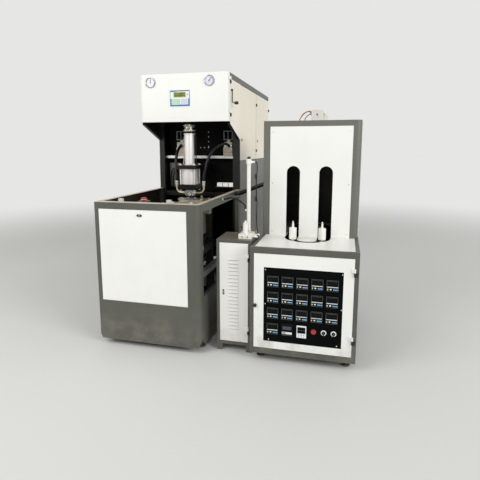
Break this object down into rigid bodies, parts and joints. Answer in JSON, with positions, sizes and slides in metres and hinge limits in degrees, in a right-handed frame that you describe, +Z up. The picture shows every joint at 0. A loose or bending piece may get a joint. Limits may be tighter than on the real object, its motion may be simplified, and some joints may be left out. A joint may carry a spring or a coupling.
{
  "type": "blow moulding machine",
  "caption": "Upright bottle blow moulding machine: guarded clamp bay under a control head, with a slim louvred air cabinet and a preform heater with an oven hood.",
  "frame": {"origin": "centre of the footprint's bounding box, on the floor", "axes": "+X to the heater's side (right in front view), +Y to the back, +Z up"},
  "size_m": [1.889, 2.5963, 2.107],
  "materials": {
    "frame_paint": "satin",
    "dark_grey_paint": "satin",
    "cream_paint": "satin",
    "black_paint": "satin",
    "zinc_shelf": "satin",
    "valve_body": "satin",
    "black_hose": "matte",
    "polished_aluminium": "polished",
    "olive_cap": "satin",
    "chrome_rod": "polished",
    "black_anodised": "satin",
    "nozzle_steel": "satin",
    "brass_fitting": "satin",
    "platen_grey": "machined",
    "steel_bar": "polished",
    "mould_metal": "machined",
    "red_plastic": "gloss",
    "white_plastic": "matte",
    "hinge_black": "satin",
    "light_paint": "satin",
    "gauge_rim": "polished",
    "needle_black": "satin",
    "display_blue": "gloss",
    "lever_black": "gloss",
    "lock_black": "satin",
    "column_white": "satin",
    "panel_black": "satin",
    "controller_plastic": "satin",
    "mandrel_white": "satin",
    "lamp_ceramic": "matte"
  },
  "bodies": {
    "machine": {"base_frame": "frame_paint", "guard_cover": "dark_grey_paint", "guard_rails": "dark_grey_paint", "cabinet_frame": "frame_paint", "light_panels": "cream_paint", "dark_panels": "dark_grey_paint", "bay_liner": "black_paint", "valve_shelf": "zinc_shelf", "blow_valves": "valve_body", "hose_left": "black_hose", "hose_right": "black_hose", "stretch_barrel": "polished_aluminium", "stretch_cap": "olive_cap", "seal_flanges": "black_anodised", "seal_barrel": "polished_aluminium", "fixed_platens": "platen_grey", "tie_bars": "steel_bar", "clamp_cylinder": "polished_aluminium", "mould_rear": "mould_metal", "switch_blocks": "white_plastic", "door_hinges": "hinge_black", "side_cabinet": "dark_grey_paint", "manifold_block": "column_white", "air_columns": "column_white", "link_lines": "black_hose", "heater_base": "dark_grey_paint", "heater_table": "light_paint", "hood_frame": "dark_grey_paint", "hood_panels": "light_paint", "lamp_bank": "lamp_ceramic", "drive_box": "white_plastic"},
    "stretch_unit": {"stretch_rod": "chrome_rod"},
    "nozzle_unit": {"blow_nozzle": "nozzle_steel", "nozzle_elbows": "brass_fitting"},
    "clamp_unit": {"moving_platen": "platen_grey", "clamp_rod": "chrome_rod", "mould_front": "mould_metal"},
    "stop_button": {"emergency_stop": "red_plastic"},
    "upper_front_leaf": {"upper_door_front": "cream_paint"},
    "upper_rear_leaf": {"upper_door_rear": "cream_paint"},
    "lower_front_leaf": {"lower_door_front": "dark_grey_paint"},
    "lower_rear_leaf": {"lower_door_rear": "dark_grey_paint"},
    "head_leaf": {"head_door": "light_paint", "gauges": "gauge_rim", "operator_display": "display_blue"},
    "needle_l": {"needle_left": "needle_black"},
    "needle_r": {"needle_right": "needle_black"},
    "lever": {"side_lever": "lever_black"},
    "front_cover": {"guard_panel": "light_paint"},
    "front_lock": {"guard_lock": "lock_black"},
    "air_leaf": {"side_door": "light_paint"},
    "heater_leaf": {"heater_door": "light_paint", "control_panel": "panel_black", "controllers": "controller_plastic"},
    "selector_l": {"selector_left": "panel_black"},
    "selector_r": {"selector_right": "panel_black"},
    "start_button": {"push_button": "red_plastic"},
    "heater_knob": {"door_knob": "lock_black"},
    "mandrel_l": {"mandrel_left": "mandrel_white"},
    "mandrel_r": {"mandrel_right": "mandrel_white"}
  },
  "joints": [
    {"name": "stretch_slide", "type": "slide", "parent": "machine", "child": "stretch_unit", "axis": [0, 0, -1], "range_m": [0, 0.25]},
    {"name": "seal_slide", "type": "slide", "parent": "machine", "child": "nozzle_unit", "axis": [0, 0, -1], "range_m": [0, 0.035], "deforming": ["hose_left", "hose_right"]},
    {"name": "clamp_slide", "type": "slide", "parent": "machine", "child": "clamp_unit", "axis": [0, 1, 0], "range_m": [0, 0.16]},
    {"name": "stop_slide", "type": "slide", "parent": "machine", "child": "stop_button", "axis": [0, 0, -1], "range_m": [0, 0.006], "stiffness_N_per_m": 900, "springref_m": -0.003},
    {"name": "head_hinge", "type": "hinge", "parent": "machine", "child": "head_leaf", "pos_m": [-0.1225, -0.4845, 1.907], "axis": [0, 0, 1], "range_deg": [0, 110]},
    {"name": "upper_front_hinge", "type": "hinge", "parent": "machine", "child": "upper_front_leaf", "pos_m": [-0.1225, 0.5695, 1.711], "axis": [0, 0, 1], "range_deg": [0, 90]},
    {"name": "upper_rear_hinge", "type": "hinge", "parent": "machine", "child": "upper_rear_leaf", "pos_m": [-0.1225, 1.2915, 1.711], "axis": [0, 0, 1], "range_deg": [0, 90]},
    {"name": "lower_front_hinge", "type": "hinge", "parent": "machine", "child": "lower_front_leaf", "pos_m": [-0.1225, 0.5695, 0.711], "axis": [0, 0, 1], "range_deg": [0, 90]},
    {"name": "lower_rear_hinge", "type": "hinge", "parent": "machine", "child": "lower_rear_leaf", "pos_m": [-0.1225, 1.2915, 0.711], "axis": [0, 0, 1], "range_deg": [0, 90]},
    {"name": "needle_left_pivot", "type": "hinge", "parent": "head_leaf", "child": "needle_l", "pos_m": [-0.8285, -0.5375, 2.041], "axis": [0, -1, 0], "range_deg": [-135, 135]},
    {"name": "needle_right_pivot", "type": "hinge", "parent": "head_leaf", "child": "needle_r", "pos_m": [-0.2955, -0.5375, 2.041], "axis": [0, -1, 0], "range_deg": [-95, 175]},
    {"name": "lever_pivot", "type": "hinge", "parent": "machine", "child": "lever", "pos_m": [-0.1295, -0.4425, 1.968], "axis": [1, 0, 0], "range_deg": [0, 60]},
    {"name": "cover_slide", "type": "slide", "parent": "machine", "child": "front_cover", "axis": [0, -1, 0], "range_m": [0, 0.15]},
    {"name": "cover_lock_turn", "type": "hinge", "parent": "front_cover", "child": "front_lock", "pos_m": [-0.5795, -1.2945, 1.007], "axis": [0, -1, 0], "range_deg": [0, 90]},
    {"name": "air_door_hinge", "type": "hinge", "parent": "machine", "child": "air_leaf", "pos_m": [0.1905, -1.1775, 0.44], "axis": [0, 0, 1], "range_deg": [0, 88]},
    {"name": "heater_door_hinge", "type": "hinge", "parent": "machine", "child": "heater_leaf", "pos_m": [0.9175, -1.2745, 0.44], "axis": [0, 0, 1], "range_deg": [0, 120]},
    {"name": "heater_knob_turn", "type": "hinge", "parent": "heater_leaf", "child": "heater_knob", "pos_m": [0.2615, -1.2685, 0.41], "axis": [0, -1, 0], "range_deg": [0, 90]},
    {"name": "start_press", "type": "slide", "parent": "heater_leaf", "child": "start_button", "axis": [0, 1, 0], "range_m": [0, 0.004], "stiffness_N_per_m": 700, "springref_m": -0.002},
    {"name": "selector_left_turn", "type": "hinge", "parent": "heater_leaf", "child": "selector_l", "pos_m": [0.7315, -1.2685, 0.2565], "axis": [0, -1, 0], "range_deg": [-45, 45]},
    {"name": "selector_right_turn", "type": "hinge", "parent": "heater_leaf", "child": "selector_r", "pos_m": [0.7965, -1.2685, 0.2565], "axis": [0, -1, 0], "range_deg": [-45, 45]},
    {"name": "mandrel_left_spin", "type": "hinge", "parent": "machine", "child": "mandrel_l", "pos_m": [0.4775, -0.973, 0.86], "axis": [0, 0, 1], "continuous": true},
    {"name": "mandrel_right_spin", "type": "hinge", "parent": "machine", "child": "mandrel_r", "pos_m": [0.686, -0.9525, 0.86], "axis": [0, 0, 1], "continuous": true}
  ]
}
